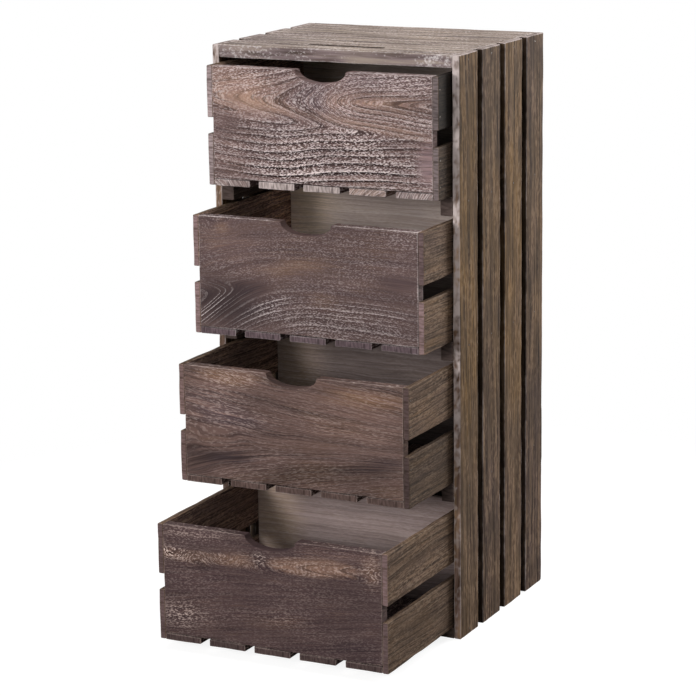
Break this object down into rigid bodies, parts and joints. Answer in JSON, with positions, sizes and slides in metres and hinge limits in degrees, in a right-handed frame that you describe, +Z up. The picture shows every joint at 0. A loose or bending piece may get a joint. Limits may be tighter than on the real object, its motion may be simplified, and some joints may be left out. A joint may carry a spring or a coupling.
{
  "type": "chest of drawers",
  "caption": "Slatted tabletop chest of drawers in weathered limed wood: open-gap slat sides, a slotted top, and slat-bottomed drawers with finger notches that slide on battens.",
  "frame": {"origin": "middle of the case's footprint on the floor, on the underside of the bottom panel", "axes": "+X to the right as seen from the front, drawer fronts face -Y, +Z up"},
  "size_m": [0.304, 0.404, 0.6605],
  "materials": {
    "top_wood": "weathered, limed, matt",
    "case_slat_wood": "weathered dark stain, matt",
    "limed_front_wood": "dark stain with lime in the grain, matt",
    "drawer_side_wood": "weathered dark stain, matt",
    "drawer_floor_wood": "weathered dark stain, matt",
    "drawer_inside_wood": "grey-brown stain, matt",
    "runner_wood": "dark stain, matt",
    "plain_panel_wood": "dark stain, matt",
    "brad_steel": "dulled steel"
  },
  "bodies": {
    "case": {"left_slat_1": "case_slat_wood", "left_slat_2": "case_slat_wood", "left_slat_3": "case_slat_wood", "left_slat_4": "case_slat_wood", "right_slat_1": "case_slat_wood", "right_slat_2": "case_slat_wood", "right_slat_3": "case_slat_wood", "right_slat_4": "case_slat_wood", "left_runner_1": "runner_wood", "left_runner_2": "runner_wood", "left_runner_3": "runner_wood", "right_runner_1": "runner_wood", "right_runner_2": "runner_wood", "right_runner_3": "runner_wood", "top_panel": "top_wood", "bottom_panel": "plain_panel_wood", "back_panel": "plain_panel_wood", "left_side_brads": "brad_steel", "right_side_brads": "brad_steel", "back_brads": "brad_steel"},
    "top_drawer": {"top_drawer_front": "limed_front_wood", "top_drawer_back": "drawer_inside_wood", "top_drawer_left_lower_slat": "drawer_side_wood", "top_drawer_left_upper_slat": "drawer_side_wood", "top_drawer_right_lower_slat": "drawer_side_wood", "top_drawer_right_upper_slat": "drawer_side_wood", "top_drawer_floor_slats": "drawer_floor_wood", "top_drawer_brads": "brad_steel"},
    "second_drawer": {"second_drawer_front": "limed_front_wood", "second_drawer_back": "drawer_inside_wood", "second_drawer_left_lower_slat": "drawer_side_wood", "second_drawer_left_upper_slat": "drawer_side_wood", "second_drawer_right_lower_slat": "drawer_side_wood", "second_drawer_right_upper_slat": "drawer_side_wood", "second_drawer_floor_slats": "drawer_floor_wood", "second_drawer_brads": "brad_steel"},
    "third_drawer": {"third_drawer_front": "limed_front_wood", "third_drawer_back": "drawer_inside_wood", "third_drawer_left_lower_slat": "drawer_side_wood", "third_drawer_left_upper_slat": "drawer_side_wood", "third_drawer_right_lower_slat": "drawer_side_wood", "third_drawer_right_upper_slat": "drawer_side_wood", "third_drawer_floor_slats": "drawer_floor_wood", "third_drawer_brads": "brad_steel"},
    "bottom_drawer": {"bottom_drawer_front": "limed_front_wood", "bottom_drawer_back": "drawer_inside_wood", "bottom_drawer_left_lower_slat": "drawer_side_wood", "bottom_drawer_left_upper_slat": "drawer_side_wood", "bottom_drawer_right_lower_slat": "drawer_side_wood", "bottom_drawer_right_upper_slat": "drawer_side_wood", "bottom_drawer_floor_slats": "drawer_floor_wood", "bottom_drawer_brads": "brad_steel"}
  },
  "joints": [
    {"name": "top_drawer_slide", "type": "slide", "parent": "case", "child": "top_drawer", "axis": [0, -1, 0], "range_m": [-0.032, 0.168]},
    {"name": "second_drawer_slide", "type": "slide", "parent": "case", "child": "second_drawer", "axis": [0, -1, 0], "range_m": [-0.071, 0.129]},
    {"name": "third_drawer_slide", "type": "slide", "parent": "case", "child": "third_drawer", "axis": [0, -1, 0], "range_m": [-0.111, 0.089]},
    {"name": "bottom_drawer_slide", "type": "slide", "parent": "case", "child": "bottom_drawer", "axis": [0, -1, 0], "range_m": [-0.167, 0.033]}
  ]
}
